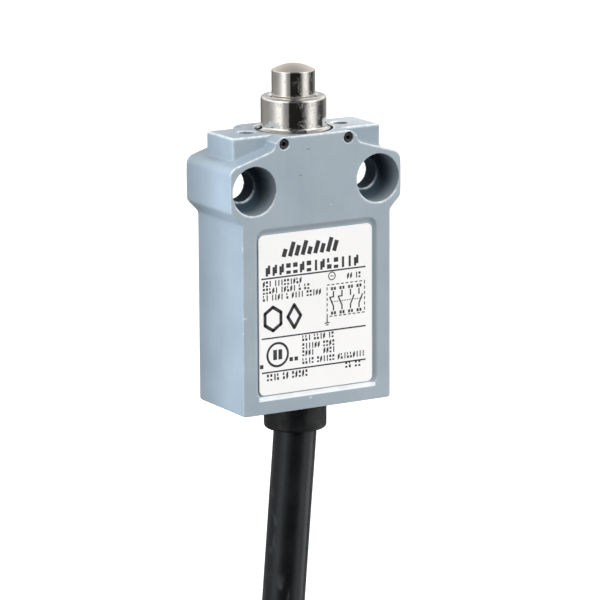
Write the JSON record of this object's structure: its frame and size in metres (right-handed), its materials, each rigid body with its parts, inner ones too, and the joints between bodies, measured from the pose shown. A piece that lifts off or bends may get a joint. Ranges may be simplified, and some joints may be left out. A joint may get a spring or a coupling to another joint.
{
  "type": "limit switch",
  "caption": "Compact die-cast limit switch with a domed top plunger, two counterbored mounting ears, an inner snap contact block and a moulded-in cable.",
  "frame": {"origin": "on the rear mounting face, midway between the two mounting holes", "axes": "+Y out of the rear mounting face, so the front face with the label looks towards -Y; +Z along the plunger, away from the cable; +X to the right seen from the front"},
  "size_m": [0.1262, 0.0396, 0.2394],
  "materials": {
    "diecast_paint": "blue-grey baked enamel over a zinc die-casting, satin, slightly uneven",
    "nickel_plate": "bright nickel plating over turned steel, lightly pitted",
    "black_steel": "black-oxide steel",
    "steel": "zinc-plated steel",
    "spring_steel": "drawn stainless spring wire",
    "contact_brass": "rolled brass strip with silver-faced contact buttons",
    "seal_rubber": "matt nitrile rubber",
    "cable_jacket": "satin black oil-resistant jacket with faint scuffs",
    "block_thermoset": "moulded thermoset",
    "carriage_nylon": "natural nylon",
    "label_film": "white printed polyester film",
    "tie_nylon": "black nylon cable tie",
    "core_insulation": "nine coloured insulated cores with crimped ends"
  },
  "bodies": {
    "housing": {"housing": "diecast_paint", "rear_cover": "diecast_paint", "rear_gasket": "seal_rubber", "cover_screw_1": "steel", "cover_screw_2": "steel", "cover_screw_3": "steel", "cover_screw_4": "steel", "plunger_guide": "nickel_plate", "guide_seal": "seal_rubber", "plunger_wiper": "seal_rubber", "guide_lock_screw_left": "black_steel", "guide_lock_screw_right": "black_steel", "top_screw_left": "black_steel", "top_screw_right": "black_steel", "spring_seat": "steel", "return_spring": "spring_steel", "contact_block_base": "block_thermoset", "contact_block_cover": "block_thermoset", "terminal_nc_front_left": "contact_brass", "terminal_nc_front_right": "contact_brass", "terminal_no_front_left": "contact_brass", "terminal_no_front_right": "contact_brass", "terminal_nc_rear_left": "contact_brass", "terminal_nc_rear_right": "contact_brass", "terminal_no_rear_left": "contact_brass", "terminal_no_rear_right": "contact_brass", "earth_lug": "contact_brass", "earth_screw": "steel", "rating_label": "label_film", "cable_grommet": "seal_rubber", "cable_entry": "cable_jacket", "cable_clamp": "steel", "cable_lead": "cable_jacket", "cable_tail": "cable_jacket", "cable_coil": "cable_jacket", "coil_tie_1": "tie_nylon", "coil_tie_2": "tie_nylon", "coil_tie_3": "tie_nylon", "core_bundle": "core_insulation"},
    "plunger": {"plunger": "nickel_plate"},
    "carriage": {"contact_carriage": "carriage_nylon", "bridge_nc_front": "contact_brass", "bridge_spring_nc_front": "spring_steel", "bridge_no_front": "contact_brass", "bridge_spring_no_front": "spring_steel", "bridge_nc_rear": "contact_brass", "bridge_spring_nc_rear": "spring_steel", "bridge_no_rear": "contact_brass", "bridge_spring_no_rear": "spring_steel", "overtravel_spring": "spring_steel"}
  },
  "joints": [
    {"name": "plunger_slide", "type": "slide", "parent": "housing", "child": "plunger", "axis": [0, 0, -1], "range_m": [0, 0.0045], "stiffness_N_per_m": 1500, "springref_m": -0.004, "deforming": ["return_spring", "overtravel_spring"]},
    {"name": "carriage_slide", "type": "slide", "parent": "housing", "child": "carriage", "axis": [0, 0, -1], "range_m": [0, 0.00135]}
  ],
  "couplings": [
    {"joint": "carriage_slide", "follows": "plunger_slide", "ratio": 0.3}
  ]
}
